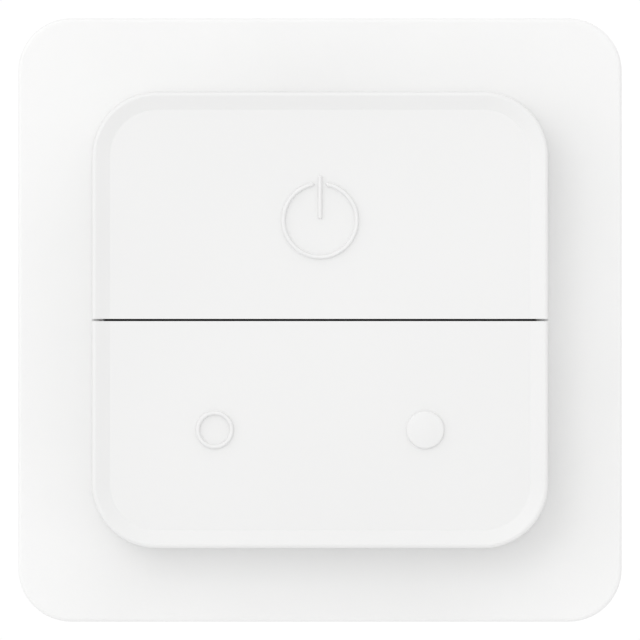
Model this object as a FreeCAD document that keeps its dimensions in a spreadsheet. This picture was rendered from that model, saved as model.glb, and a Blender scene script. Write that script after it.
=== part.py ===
"""Wireless remote wall switch: a wall plate with a magnetic dock and a two-key remote.

The wall is the plane y = 0, the front faces -Y and +Z points up. Levels are distances from the wall.
"""
import FreeCAD, Part
import math
import os
import re
import Sketcher
from FreeCAD import Placement, Rotation, Vector

SIZES = {
    # Wall plate
    "plate_width": 80.0,
    "plate_corner": 7.0,
    "plate_depth": 3.0,
    "plate_edge": 0.5,
    "plate_skin": 1.8,
    "plate_rim": 2.0,
    "plate_rib": 1.4,
    "cell_corner": 1.0,
    "dock_width": 50.0,
    "dock_corner": 6.0,
    "dock_height": 1.0,
    "dock_edge": 0.4,
    "wall_screw_spacing": 40.0,
    "wall_screw_hole": 4.2,
    "wall_screw_sink": 7.6,
    "wall_screw_boss": 9.0,
    # Foam strips in the wall plate's back
    "pad_margin": 1.2,
    "pad_end": 6.0,
    "pad_corner": 2.0,
    # Magnets and steel keepers
    "magnet_bore": 6.0,
    "magnet_thick": 2.0,
    "magnet_reach": 14.0,
    "magnet_inset": 5.5,
    "magnet_cover": 0.8,
    "magnet_wall": 1.0,
    "keeper_width": 8.0,
    "keeper_thick": 0.8,
    "keeper_lap": 3.0,
    "keeper_corner": 1.0,
    "pocket_play": 0.05,
    # Remote housing
    "remote_width": 60.5,
    "remote_corner": 8.7,
    "side_inset": 0.15,
    "back_edge": 0.3,
    "housing_wall": 1.6,
    "housing_floor": 1.4,
    "dock_play": 0.3,
    "dock_gap": 0.15,
    "post_inset": 6.4,
    "post_width": 5.6,
    "post_rib": 1.0,
    "post_rib_height": 2.0,
    # Housing screws
    "screw_head": 3.6,
    "screw_head_height": 1.3,
    "screw_shank": 2.0,
    "screw_seat": 1.6,
    "screw_play": 0.3,
    "pilot_bore": 1.7,
    "pilot_height": 1.8,
    "pilot_spare": 0.35,
    # Battery cover, cell and holder
    "cover_width": 24.0,
    "cover_play": 0.2,
    "lug_reach": 1.5,
    "lug_width": 7.0,
    "lug_thick": 0.6,
    "lug_play": 0.1,
    "lug_turn": 45.0,
    "coin_slot_length": 13.0,
    "coin_slot_width": 1.9,
    "coin_slot_height": 0.7,
    "cell_width": 20.0,
    "cell_thick": 3.2,
    "cell_gap": 0.15,
    "cell_cap_inset": 1.2,
    "cell_cap_height": 0.5,
    "cell_edge": 0.3,
    "holder_play": 0.2,
    "holder_wall": 1.2,
    "holder_lift": 0.6,
    "holder_slot": 5.0,
    # Contacts
    "contact_space": 0.4,
    "contact_thick": 0.2,
    "contact_width": 3.6,
    "contact_touch": 0.02,
    "contact_foot": 3.5,
    "spring_reach": 6.0,
    "spring_bend": 3.5,
    "spring_crown": 1.0,
    # Circuit board, radio and switches
    "board_thick": 1.0,
    "board_inset": 1.8,
    "board_corner": 4.0,
    "pillar_width": 3.9,
    "pillar_play": 0.25,
    "radio_width": 14.0,
    "radio_height": 11.0,
    "radio_drop": 19.0,
    "radio_thick": 0.8,
    "shield_margin": 1.2,
    "shield_thick": 1.8,
    "shield_edge": 0.3,
    "switch_width": 5.2,
    "switch_corner": 0.4,
    "switch_height": 1.2,
    "switch_base": 0.25,
    "plunger_width": 2.6,
    "plunger_play": 0.1,
    "plunger_rise": 0.7,
    "plunger_travel": 0.35,
    "plunger_edge": 0.15,
    # Key frame and its bearings
    "frame_thick": 1.2,
    "frame_play": 0.2,
    "window_play": 0.4,
    "bearing_width": 3.2,
    "bearing_thick": 2.0,
    "bearing_gap": 0.2,
    "pin_width": 1.4,
    "pin_play": 0.05,
    "pin_rise": 0.85,
    "arm_thick": 1.6,
    "arm_width": 2.8,
    "arm_play": 0.2,
    "arm_drop": 1.1,
    "power_pivot_rise": 25.0,
    "power_pivot_reach": 14.0,
    "dimmer_pivot_near": 5.0,
    "dimmer_pivot_far": 23.6,
    # Keys
    "key_room": 2.0,
    "key_skin": 1.2,
    "key_height": 4.0,
    "key_gap": 0.7,
    "key_parting": 0.3,
    "key_wall": 1.3,
    "key_lap": 0.7,
    "crest_land": 0.5,
    "crest_round": 0.45,
    "dish_band": 1.85,
    "dish_depth": 0.6,
    "key_rib": 1.0,
    "key_rib_drop": 0.6,
    "key_rib_reach": 23.0,
    "key_rib_near": 8.5,
    "key_rib_far": 19.5,
    "actuator_width": 3.0,
    "actuator_gap": 0.05,
    "power_rise": 13.1,
    "dim_reach": 14.0,
    "dim_drop": 14.6,
}

DERIVED = {
    # Levels from the wall, in stacking order
    "dock_front": "plate_depth + dock_height",
    "floor_back": "dock_front + dock_gap",
    "floor_front": "floor_back + housing_floor",
    "cell_back": "floor_front + cell_gap",
    "cell_front": "cell_back + cell_thick",
    "board_back": "cell_front + contact_space",
    "board_front": "board_back + board_thick",
    "frame_front": "board_front + frame_thick",
    "pin_level": "frame_front + pin_rise",
    "key_under": "frame_front + key_room",
    "dish_floor": "key_under + key_skin",
    "crest": "dish_floor + dish_depth",
    "key_bottom": "crest - key_height",
    "rim_level": "key_bottom - key_gap",
    "switch_front": "board_front + switch_height",
    "plunger_front": "switch_front + plunger_rise",
    "bearing_front": "key_under - bearing_gap",
    "screw_level": "floor_back + screw_seat",
    # Half widths and positions
    "plate_half": "plate_width / 2",
    "plate_inner": "plate_half - plate_rim",
    "rib_half": "plate_rib / 2",
    "rib_x": "wall_screw_spacing / 2",
    "pad_near": "rib_x + wall_screw_boss / 2 + pad_margin",
    "pad_far": "plate_inner - pad_margin",
    "pad_half_length": "plate_inner - pad_end",
    "dock_half": "dock_width / 2",
    "dock_recess": "dock_half + dock_play",
    "magnet_rise": "dock_half - magnet_inset",
    "keeper_half": "magnet_reach + magnet_bore / 2 + keeper_lap",
    "remote_half": "remote_width / 2",
    "side_slope": "side_inset / (crest - plate_depth)",
    "rim_half": "remote_half - (rim_level - plate_depth) * side_slope",
    "inner_half": "rim_half - housing_wall",
    "inner_corner": "remote_corner - housing_wall",
    "key_base_half": "remote_half - (key_bottom - plate_depth) * side_slope",
    "key_base_corner": "remote_corner - (key_bottom - plate_depth) * side_slope",
    "crest_half": "remote_half - side_inset",
    "crest_corner": "remote_corner - side_inset",
    "dish_half": "crest_half - crest_land",
    "dish_corner": "crest_corner - crest_land",
    "dish_floor_half": "dish_half - dish_band",
    "dish_floor_corner": "dish_corner - dish_band",
    "key_inner": "crest_half - key_wall",
    "key_inner_corner": "crest_corner - key_wall",
    "parting_half": "key_parting / 2",
    "frame_half": "inner_half - frame_play",
    "frame_corner": "inner_corner - frame_play",
    "board_half": "inner_half - board_inset",
    "post_offset": "inner_half - post_inset",
    "cover_radius": "cover_width / 2",
    "cell_radius": "cell_width / 2",
    "holder_inner": "cell_radius + holder_play",
    "holder_outer": "holder_inner + holder_wall",
    "bearing_half": "bearing_thick / 2",
}

SWITCHES = {
    "power": ("0", "power_rise"),
    "dim": ("-dim_reach", "-dim_drop"),
    "bright": ("dim_reach", "-dim_drop"),
}
CORNERS = (("-", "-"), ("", "-"), ("", ""), ("-", ""))
WORD = re.compile(r"[a-z_]+")

doc = FreeCAD.newDocument("WallSwitch")
sheet = doc.addObject("Spreadsheet::Sheet", "Sizes")
for row, (alias, size) in enumerate(SIZES.items(), start=1):
    sheet.set(f"A{row}", alias)
    sheet.set(f"B{row}", str(size))
    sheet.setAlias(f"B{row}", alias)
doc.recompute()


def formula(text):
    """Expression in sheet cells for a text written in size names and derived names."""

    def cell(match):
        word = match.group(0)
        if word in DERIVED:
            return f"({formula(DERIVED[word])})"
        return f"Sizes.{word}" if word in SIZES else word

    return WORD.sub(cell, text)


def number(text):
    """Present value of a text written in size names and derived names."""
    return float(sheet.evalExpression(formula(text)))


def bind(item, path, text):
    """Bind one property of an object to the sheet."""
    item.setExpression(path, formula(text))


def new_body(name):
    """New body, labelled with its node name."""
    body = doc.addObject("PartDesign::Body", name)
    body.Label = name
    return body


def origin_part(body, role):
    """Plane or axis of a body's own origin."""
    return next(part for part in body.Origin.OriginFeatures if part.Role == role)


def new_sketch(body, name, level="0", plane="XZ_Plane", turn=None):
    """Sketch on an origin plane, moved along its normal; on XZ_Plane that is a level from the wall.

    A turn is clockwise as seen from the normal's tip.
    """
    sketch = body.newObject("Sketcher::SketchObject", name)
    sketch.AttachmentSupport = [(origin_part(body, plane), "")]
    sketch.MapMode = "FlatFace"
    angle = number(turn) if turn else 0.0
    sketch.AttachmentOffset = Placement(Vector(0, 0, number(level)), Rotation(Vector(0, 0, -1), angle))
    bind(sketch, "AttachmentOffset.Base.z", level)
    if turn:
        bind(sketch, "AttachmentOffset.Rotation.Angle", turn)
    return sketch


def bound_constraint(sketch, kind, where, text):
    """Add a dimension whose value comes from the sheet."""
    index = sketch.addConstraint(Sketcher.Constraint(kind, *where, number(text)))
    bind(sketch, f"Constraints[{index}]", text)


def place_point(sketch, where, u, v):
    """Put a point of the sketch at bound coordinates; "0" means on the axis."""
    for kind, text, axis in (("DistanceX", u, -2), ("DistanceY", v, -1)):
        if text == "0":
            sketch.addConstraint(Sketcher.Constraint("PointOnObject", *where, axis))
        elif text is not None:
            bound_constraint(sketch, kind, where, text)


def add_circle(sketch, diameter, u="0", v="0"):
    """Circle with a bound centre and diameter."""
    centre = Vector(number(u), number(v), 0)
    circle = sketch.addGeometry(Part.Circle(centre, Vector(0, 0, 1), number(diameter) / 2), False)
    place_point(sketch, (circle, 3), u, v)
    bound_constraint(sketch, "Diameter", (circle,), diameter)


def add_polygon(sketch, points):
    """Closed polygon with every corner bound."""
    places = [Vector(number(u), number(v), 0) for u, v in points]
    first = sketch.GeometryCount
    count = len(points)
    for index in range(count):
        sketch.addGeometry(Part.LineSegment(places[index], places[(index + 1) % count]), False)
    for index in range(count):
        end = first + (index + 1) % count
        sketch.addConstraint(Sketcher.Constraint("Coincident", first + index, 2, end, 1))
    for index, (u, v) in enumerate(points):
        place_point(sketch, (first + index, 1), u, v)


def add_rectangle(sketch, left, right, low, high):
    """Rectangle with bound sides."""
    add_polygon(sketch, ((left, low), (right, low), (right, high), (left, high)))


def add_rounded(sketch, left, right, low, high, radius):
    """Rectangle with bound sides and equal bound corner arcs."""
    x0, x1, z0, z1, r = (number(text) for text in (left, right, low, high, radius))
    centres = ((x1 - r, z0 + r), (x1 - r, z1 - r), (x0 + r, z1 - r), (x0 + r, z0 + r))
    sides = (
        ((x0 + r, z0), (x1 - r, z0)),
        ((x1, z0 + r), (x1, z1 - r)),
        ((x1 - r, z1), (x0 + r, z1)),
        ((x0, z1 - r), (x0, z0 + r)),
    )
    lines, arcs = [], []
    for index, (start, end) in enumerate(sides):
        lines.append(sketch.addGeometry(Part.LineSegment(Vector(*start, 0), Vector(*end, 0)), False))
        circle = Part.Circle(Vector(*centres[index], 0), Vector(0, 0, 1), r)
        begin = (index - 1) * math.pi / 2
        arcs.append(sketch.addGeometry(Part.ArcOfCircle(circle, begin, begin + math.pi / 2), False))
    for index in range(4):
        sketch.addConstraint(Sketcher.Constraint("Tangent", lines[index], 2, arcs[index], 1))
        sketch.addConstraint(Sketcher.Constraint("Tangent", arcs[index], 2, lines[(index + 1) % 4], 1))
        direction = "Vertical" if index % 2 else "Horizontal"
        sketch.addConstraint(Sketcher.Constraint(direction, lines[index]))
    for arc in arcs[1:]:
        sketch.addConstraint(Sketcher.Constraint("Equal", arcs[0], arc))
    bound_constraint(sketch, "Radius", (arcs[0],), radius)
    place_point(sketch, (lines[0], 1), None, low)
    place_point(sketch, (lines[1], 1), right, None)
    place_point(sketch, (lines[2], 1), None, high)
    place_point(sketch, (lines[3], 1), left, None)


def add_square(sketch, half, radius, place=("0", "0")):
    """Rounded square about the origin or about another place."""
    x, z = place
    add_rounded(sketch, f"{x} - ({half})", f"{x} + {half}", f"{z} - ({half})", f"{z} + {half}", radius)


def span(sign, near, far):
    """Low and high end of a span on the right or upper side, or mirrored to the other side by a minus."""
    return (f"-({far})", f"-({near})") if sign else (near, far)


def add_tab(sketch, width, radius):
    """Tab that starts on the origin's level line and ends in an arc about the origin."""
    half, reach = number(width) / 2, number(radius)
    shoulder = math.sqrt(reach**2 - half**2)
    low_left, low_right = Vector(-half, 0, 0), Vector(half, 0, 0)
    high_left, high_right = Vector(-half, shoulder, 0), Vector(half, shoulder, 0)
    base = sketch.addGeometry(Part.LineSegment(low_left, low_right), False)
    right = sketch.addGeometry(Part.LineSegment(low_right, high_right), False)
    left = sketch.addGeometry(Part.LineSegment(high_left, low_left), False)
    circle = Part.Circle(Vector(0, 0, 0), Vector(0, 0, 1), reach)
    begin = math.atan2(shoulder, half)
    arc = sketch.addGeometry(Part.ArcOfCircle(circle, begin, math.pi - begin), False)
    for joint in ((base, 2, right, 1), (right, 2, arc, 1), (arc, 2, left, 1), (left, 2, base, 1)):
        sketch.addConstraint(Sketcher.Constraint("Coincident", *joint))
    sketch.addConstraint(Sketcher.Constraint("Coincident", arc, 3, -1, 1))
    sketch.addConstraint(Sketcher.Constraint("Vertical", right))
    sketch.addConstraint(Sketcher.Constraint("Vertical", left))
    place_point(sketch, (base, 1), f"-{width} / 2", "0")
    place_point(sketch, (base, 2), f"{width} / 2", "0")
    bound_constraint(sketch, "Radius", (arc,), radius)


def extrude(kind, body, sketch, length, forward=True, taper=None, middle=False):
    """Pad or pocket along the sketch's normal, or against it when forward is false."""
    feature = body.newObject(f"PartDesign::{kind}", f"{kind.lower()}_{sketch.Label}")
    feature.Profile = sketch
    feature.Reversed = forward == (kind == "Pocket")
    feature.SideType = "Symmetric" if middle else "One side"
    bind(feature, "Length", length)
    if taper:
        bind(feature, "TaperAngle", taper)
    doc.recompute()
    return feature


def pad(body, sketch, length, **options):
    """Add material in front of the sketch."""
    return extrude("Pad", body, sketch, length, **options)


def pocket(body, sketch, length, **options):
    """Remove material, by default behind the sketch."""
    options.setdefault("forward", False)
    return extrude("Pocket", body, sketch, length, **options)


def pattern(body, feature, count):
    """Repeat a feature evenly about the body's front-to-back axis."""
    polar = body.newObject("PartDesign::PolarPattern", f"pattern_{feature.Label}")
    polar.Originals = [feature]
    polar.Axis = (origin_part(body, "Y_Axis"), [""])
    polar.Angle = 360
    polar.Occurrences = count
    body.Tip = polar
    doc.recompute()


def round_edges(body, name, radius, level, beyond="0"):
    """Round the edges that lie on a level from the wall and reach beyond a half width."""
    height, limit = -number(level), number(beyond)
    names = []
    for index, edge in enumerate(body.Tip.Shape.Edges, start=1):
        box = edge.BoundBox
        flat = abs(box.YMin - height) < 1e-4 and abs(box.YMax - height) < 1e-4
        if flat and max(-box.XMin, box.XMax, -box.ZMin, box.ZMax) > limit:
            names.append(f"Edge{index}")
    fillet = body.newObject("PartDesign::Fillet", name)
    fillet.Base = (fillet.BaseFeature, names)
    bind(fillet, "Radius", radius)
    doc.recompute()


def loft_cut(body, name, first, last):
    """Remove the ruled solid between two sketches."""
    loft = body.newObject("PartDesign::SubtractiveLoft", name)
    loft.Profile = first
    loft.Sections = [last]
    loft.Ruled = True
    doc.recompute()


def wall_plate():
    """Plate that stays on the wall: dock boss in front, ribs and screw bosses behind."""
    body = new_body("wall_plate")
    outline = new_sketch(body, "plate_outline")
    add_square(outline, "plate_half", "plate_corner")
    pad(body, outline, "plate_depth")
    round_edges(body, "plate_front_edge", "plate_edge", "plate_depth")
    dock = new_sketch(body, "dock_outline", "plate_depth")
    add_square(dock, "dock_half", "dock_corner")
    pad(body, dock, "dock_height")
    round_edges(body, "dock_front_edge", "dock_edge", "dock_front")
    cells = new_sketch(body, "back_cells")
    for x_sign in ("-", ""):
        outer = span(x_sign, "rib_x + rib_half", "plate_inner")
        add_rounded(cells, *outer, "-plate_inner", "plate_inner", "cell_corner")
        inner = span(x_sign, "rib_half", "rib_x - rib_half")
        for z_sign in ("-", ""):
            add_rounded(cells, *inner, *span(z_sign, "rib_half", "plate_inner"), "cell_corner")
    pocket(body, cells, "plate_depth - plate_skin", forward=True)
    bosses = new_sketch(body, "wall_screw_bosses")
    keepers = new_sketch(body, "keeper_pockets", "dock_front")
    centres = new_sketch(body, "wall_screw_centres", "dock_front")
    for side in ("-", ""):
        add_circle(bosses, "wall_screw_boss", f"{side}rib_x")
        add_keeper(keepers, side, "pocket_play")
        add_circle(centres, "wall_screw_hole", f"{side}rib_x")
    pad(body, bosses, "plate_depth - plate_skin")
    pocket(body, keepers, "keeper_thick")
    hole = body.newObject("PartDesign::Hole", "wall_screw_holes")
    hole.Profile = centres
    hole.DepthType = "ThroughAll"
    hole.HoleCutType = "Countersink"
    bind(hole, "Diameter", "wall_screw_hole")
    bind(hole, "HoleCutDiameter", "wall_screw_sink")
    hole.HoleCutCountersinkAngle = 90
    return body


def add_keeper(sketch, side, play):
    """Outline of one steel keeper, grown by a play."""
    half, rise = f"(keeper_half + {play})", f"{side}magnet_rise"
    low, high = f"{rise} - keeper_width / 2 - {play}", f"{rise} + keeper_width / 2 + {play}"
    add_rounded(sketch, f"-{half}", half, low, high, "keeper_corner")


def keeper_plate(name, side):
    """Steel strip that the magnets pull on, flush with the dock."""
    body = new_body(name)
    outline = new_sketch(body, f"{name}_outline", "dock_front - keeper_thick")
    add_keeper(outline, side, "0")
    pad(body, outline, "keeper_thick")
    return body


def adhesive_pad(name, side):
    """Foam strip that fills a side cell of the wall plate's back."""
    body = new_body(name)
    outline = new_sketch(body, f"{name}_outline")
    across = span(side, "pad_near", "pad_far")
    add_rounded(outline, *across, "-pad_half_length", "pad_half_length", "pad_corner")
    pad(body, outline, "plate_depth - plate_skin")
    return body


def rear_housing():
    """Drafted tray of the remote with the dock recess, bayonet opening, posts and magnet seats."""
    body = new_body("rear_housing")
    outline = new_sketch(body, "housing_outline", "plate_depth")
    add_square(outline, "remote_half", "remote_corner")
    pad(body, outline, "rim_level - plate_depth", taper="-atan(side_slope)")
    round_edges(body, "housing_back_edge", "back_edge", "plate_depth")
    inside = new_sketch(body, "housing_inside", "rim_level")
    add_square(inside, "inner_half", "inner_corner")
    pocket(body, inside, "rim_level - floor_front")
    recess = new_sketch(body, "dock_recess", "plate_depth")
    add_square(recess, "dock_recess", "dock_corner")
    pocket(body, recess, "floor_back - plate_depth", forward=True)

    posts = new_sketch(body, "screw_posts", "floor_front")
    ribs = new_sketch(body, "post_ribs", "floor_front")
    seats = new_sketch(body, "magnet_seats", "floor_front")
    for x_sign, z_sign in CORNERS:
        place = f"{x_sign}post_offset", f"{z_sign}post_offset"
        magnet_place = f"{x_sign}magnet_reach", f"{z_sign}magnet_rise"
        add_circle(posts, "post_width", *place)
        add_circle(seats, "magnet_bore + 2 * magnet_wall", *magnet_place)
        reach = "post_offset + post_width / 4", "inner_half + housing_wall / 3"
        thick = "post_offset - post_rib / 2", "post_offset + post_rib / 2"
        add_rectangle(ribs, *span(x_sign, *reach), *span(z_sign, *thick))
        add_rectangle(ribs, *span(x_sign, *thick), *span(z_sign, *reach))
    pad(body, posts, "board_back - floor_front")
    pad(body, ribs, "post_rib_height")
    pad(body, seats, "floor_back + magnet_thick + magnet_cover - floor_front")

    magnets = new_sketch(body, "magnet_bores", "floor_back")
    bores = new_sketch(body, "screw_bores", "plate_depth")
    heads = new_sketch(body, "screw_head_bores", "plate_depth")
    for x_sign, z_sign in CORNERS:
        place = f"{x_sign}post_offset", f"{z_sign}post_offset"
        magnet_place = f"{x_sign}magnet_reach", f"{z_sign}magnet_rise"
        add_circle(magnets, "magnet_bore + 2 * pocket_play", *magnet_place)
        add_circle(bores, "screw_shank + screw_play", *place)
        add_circle(heads, "screw_head + 2 * screw_play", *place)
    pocket(body, magnets, "magnet_thick", forward=True)
    pocket(body, bores, "board_back - plate_depth", forward=True)
    pocket(body, heads, "screw_level - plate_depth", forward=True)

    opening = new_sketch(body, "cover_opening", "floor_back")
    add_circle(opening, "cover_width + 2 * cover_play")
    pocket(body, opening, "housing_floor", forward=True)
    groove = new_sketch(body, "lug_groove", "floor_front")
    add_circle(groove, "cover_width + 2 * (lug_reach + cover_play)")
    pocket(body, groove, "lug_thick + lug_play")
    notch = new_sketch(body, "lug_notch", "floor_front", turn="lug_turn")
    add_tab(notch, "(lug_width + 2 * cover_play)", "cover_radius + lug_reach + cover_play")
    pattern(body, pocket(body, notch, "housing_floor"), 3)
    return body


def battery_cover():
    """Round bayonet cover, turned with a coin."""
    body = new_body("battery_cover")
    disc = new_sketch(body, "cover_disc", "floor_back")
    add_circle(disc, "cover_width")
    pad(body, disc, "housing_floor")
    round_edges(body, "cover_back_edge", "back_edge", "floor_back")
    slot = new_sketch(body, "coin_slot", "floor_back")
    reach, half = "coin_slot_length / 2", "coin_slot_width / 2"
    add_rounded(slot, f"-{reach}", reach, f"-{half}", half, "coin_slot_width / 4")
    pocket(body, slot, "coin_slot_height", forward=True)
    lug = new_sketch(body, "cover_lug", "floor_front - lug_thick")
    add_tab(lug, "lug_width", "cover_radius + lug_reach")
    pattern(body, pad(body, lug, "lug_thick"), 3)
    return body


def coin_cell():
    """Cell with its wide can to the back and its cap to the front."""
    body = new_body("coin_cell")
    can = new_sketch(body, "cell_can", "cell_back")
    add_circle(can, "cell_width")
    pad(body, can, "cell_thick - cell_cap_height")
    round_edges(body, "cell_can_edge", "cell_edge", "cell_back")
    cap = new_sketch(body, "cell_cap", "cell_front - cell_cap_height")
    add_circle(cap, "cell_width - 2 * cell_cap_inset")
    pad(body, cap, "cell_cap_height")
    round_edges(body, "cell_cap_edge", "cell_edge", "cell_front")
    return body


def battery_holder():
    """Ring under the board around the cell, open where the side contact stands."""
    body = new_body("battery_holder")
    ring = new_sketch(body, "holder_ring", "floor_front + holder_lift")
    add_circle(ring, "2 * holder_outer")
    add_circle(ring, "2 * holder_inner")
    pad(body, ring, "board_back - floor_front - holder_lift")
    slot = new_sketch(body, "holder_slot", "board_back")
    add_rectangle(slot, "cell_radius / 2", "holder_outer + 1", "-holder_slot / 2", "holder_slot / 2")
    pocket(body, slot, "board_back - floor_front - holder_lift")
    return body


def positive_contact():
    """Angle strip: foot under the board and a blade against the cell's side."""
    body = new_body("positive_contact")
    profile = new_sketch(body, "positive_profile", plane="XY_Plane")
    inner, outer = "cell_radius + contact_touch", "cell_radius + contact_touch + contact_thick"
    low, foot = "-(cell_back + holder_lift)", "-(board_back - contact_thick)"
    end = f"{outer} + contact_foot"
    add_polygon(
        profile,
        (
            (inner, "-board_back"),
            (end, "-board_back"),
            (end, foot),
            (outer, foot),
            (outer, low),
            (inner, low),
        ),
    )
    pad(body, profile, "contact_width", middle=True)
    return body


def negative_contact():
    """Bowed strip that presses on the cell's cap from the board."""
    body = new_body("negative_contact")
    profile = new_sketch(body, "negative_profile", plane="XY_Plane")
    board, crown = "-board_back", "-(cell_front + contact_touch + contact_thick)"
    bends = (
        ("-spring_reach", board),
        ("-spring_bend", board),
        ("-spring_crown", crown),
        ("spring_crown", crown),
        ("spring_bend", board),
        ("spring_reach", board),
    )
    near_cell = [(x, f"{y} + contact_thick") for x, y in reversed(bends)]
    add_polygon(profile, (*bends, *near_cell))
    pad(body, profile, "contact_width", middle=True)
    return body


def circuit_board():
    """Board clamped between the posts and the key frame."""
    body = new_body("circuit_board")
    outline = new_sketch(body, "board_outline", "board_back")
    add_square(outline, "board_half", "board_corner")
    for x_sign, z_sign in CORNERS:
        width = "pillar_width + 2 * pillar_play"
        add_circle(outline, width, f"{x_sign}post_offset", f"{z_sign}post_offset")
    pad(body, outline, "board_thick")
    return body


def radio_block(name, margin, level, thick, edge=None):
    """Block of the radio module on the back of the board."""
    body = new_body(name)
    outline = new_sketch(body, f"{name}_outline", level)
    side, half = f"(radio_width / 2 - {margin})", f"(radio_height / 2 - {margin})"
    low, high = f"-radio_drop - {half}", f"-radio_drop + {half}"
    add_rounded(outline, f"-{side}", side, low, high, "switch_corner")
    pad(body, outline, thick)
    if edge:
        round_edges(body, f"{name}_edge", edge, level)
    return body


def switch_body(name, place):
    """Push switch on the board, bored for its plunger."""
    body = new_body(name)
    outline = new_sketch(body, f"{name}_outline", "board_front")
    add_square(outline, "switch_width / 2", "switch_corner", place)
    pad(body, outline, "switch_height")
    bore = new_sketch(body, f"{name}_bore", "switch_front")
    add_circle(bore, "plunger_width + 2 * plunger_play", *place)
    pocket(body, bore, "switch_height - switch_base")
    return body


def switch_plunger(name, place):
    """Plunger of a push switch with travel left below it."""
    body = new_body(name)
    outline = new_sketch(body, f"{name}_outline", "board_front + switch_base + plunger_travel")
    add_circle(outline, "plunger_width", *place)
    pad(body, outline, "plunger_front - board_front - switch_base - plunger_travel")
    round_edges(body, f"{name}_edge", "plunger_edge", "plunger_front")
    return body


def bearing_spans(sign, offset, outward):
    """Spans along a pivot line of a bearing, the key's arm beside it, its pin and the arm's window."""
    face = f"{sign}{offset} {outward} bearing_half"
    arm_near = f"{face} {outward} arm_play"
    arm_far = f"{arm_near} {outward} arm_thick"
    inward = "-" if outward == "+" else "+"
    bearing = (f"{sign}{offset} {inward} bearing_half", face)
    pin = (f"{sign}{offset} {inward} (bearing_half - arm_play)", arm_near)
    window = (face, f"{arm_far} {outward} window_play")
    order = -1 if outward == "-" else 1
    return {
        "bearing": bearing[::order],
        "arm": (arm_near, arm_far)[::order],
        "pin": pin[::order],
        "window": window[::order],
    }


POWER_BEARINGS = [
    bearing_spans("-", "power_pivot_reach", "-"),
    bearing_spans("", "power_pivot_reach", "+"),
]
DIMMER_BEARINGS = [
    bearing_spans("-", "dimmer_pivot_near", "+"),
    bearing_spans("-", "dimmer_pivot_far", "-"),
]


def pivot_rectangles(sketch, key, part, width):
    """Draw one part of a key's two bearings in front view."""
    if key == "power":
        for spans in POWER_BEARINGS:
            across = f"power_pivot_rise - {width}", f"power_pivot_rise + {width}"
            add_rectangle(sketch, *spans[part], *across)
    else:
        for spans in DIMMER_BEARINGS:
            add_rectangle(sketch, f"-({width})", width, *spans[part])


def key_frame():
    """Plate on the board with switch windows, screw pillars and the bearings of both keys."""
    body = new_body("key_frame")
    outline = new_sketch(body, "frame_outline", "board_front")
    add_square(outline, "frame_half", "frame_corner")
    pad(body, outline, "frame_thick")
    pillars = new_sketch(body, "frame_pillars", "board_front")
    pilots = new_sketch(body, "frame_pilots", "board_back")
    for x_sign, z_sign in CORNERS:
        place = f"{x_sign}post_offset", f"{z_sign}post_offset"
        add_circle(pillars, "pillar_width", *place)
        add_circle(pilots, "pilot_bore", *place)
    pad(body, pillars, "board_thick", forward=False)
    pocket(body, pilots, "pilot_height", forward=True)
    bearings = new_sketch(body, "frame_bearings", "frame_front")
    windows = new_sketch(body, "frame_windows", "frame_front")
    for key in ("power", "dimmer"):
        pivot_rectangles(bearings, key, "bearing", "bearing_width / 2")
        pivot_rectangles(windows, key, "window", "(arm_width / 2 + window_play)")
    for place in SWITCHES.values():
        add_square(windows, "switch_width / 2 + window_play", "switch_corner", place)
    pad(body, bearings, "bearing_front - frame_front")
    pocket(body, windows, "frame_thick")
    bore = "pin_width + 2 * pin_play"
    power_bores = new_sketch(body, "power_pin_bores", plane="YZ_Plane")
    add_circle(power_bores, bore, "-pin_level", "power_pivot_rise")
    pocket(body, power_bores, "2 * power_pivot_reach + 2 * bearing_thick", middle=True)
    dimmer_bores = new_sketch(body, "dimmer_pin_bores", "-dimmer_pivot_far - bearing_thick", "XY_Plane")
    add_circle(dimmer_bores, bore, "0", "-pin_level")
    pocket(body, dimmer_bores, "dimmer_pivot_far - dimmer_pivot_near + 2 * bearing_thick", forward=True)
    return body


def key_blank(name, side):
    """Dished half of the remote's front: drafted skirt, rounded crest, sloped band and flat face."""
    body = new_body(name)
    block = new_sketch(body, f"{name}_block", "key_bottom")
    add_square(block, "key_base_half", "key_base_corner")
    pad(body, block, "key_height", taper="-atan(side_slope)")
    dish_top = new_sketch(body, f"{name}_dish_top", "crest")
    add_square(dish_top, "dish_half", "dish_corner")
    dish_low = new_sketch(body, f"{name}_dish_floor", "dish_floor")
    add_square(dish_low, "dish_floor_half", "dish_floor_corner")
    loft_cut(body, f"{name}_dish", dish_top, dish_low)
    round_edges(body, f"{name}_crest", "crest_round", "crest", "dish_half + crest_land / 2")
    hollow = new_sketch(body, f"{name}_hollow", "key_bottom")
    add_square(hollow, "key_inner", "key_inner_corner")
    pocket(body, hollow, "key_under - key_bottom", forward=True)
    wall = new_sketch(body, f"{name}_parting_wall", "frame_front + key_lap")
    far = "(parting_half + key_wall)"
    add_rectangle(wall, "-key_inner", "key_inner", f"-{far}", far)
    pad(body, wall, "key_under - frame_front - key_lap")
    half = new_sketch(body, f"{name}_other_half", "crest")
    clear = "(remote_half + 1)"
    low, high = ("-parting_half", clear) if side else (f"-{clear}", "parting_half")
    add_rectangle(half, f"-{clear}", clear, low, high)
    pocket(body, half, "key_height")
    return body


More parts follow.
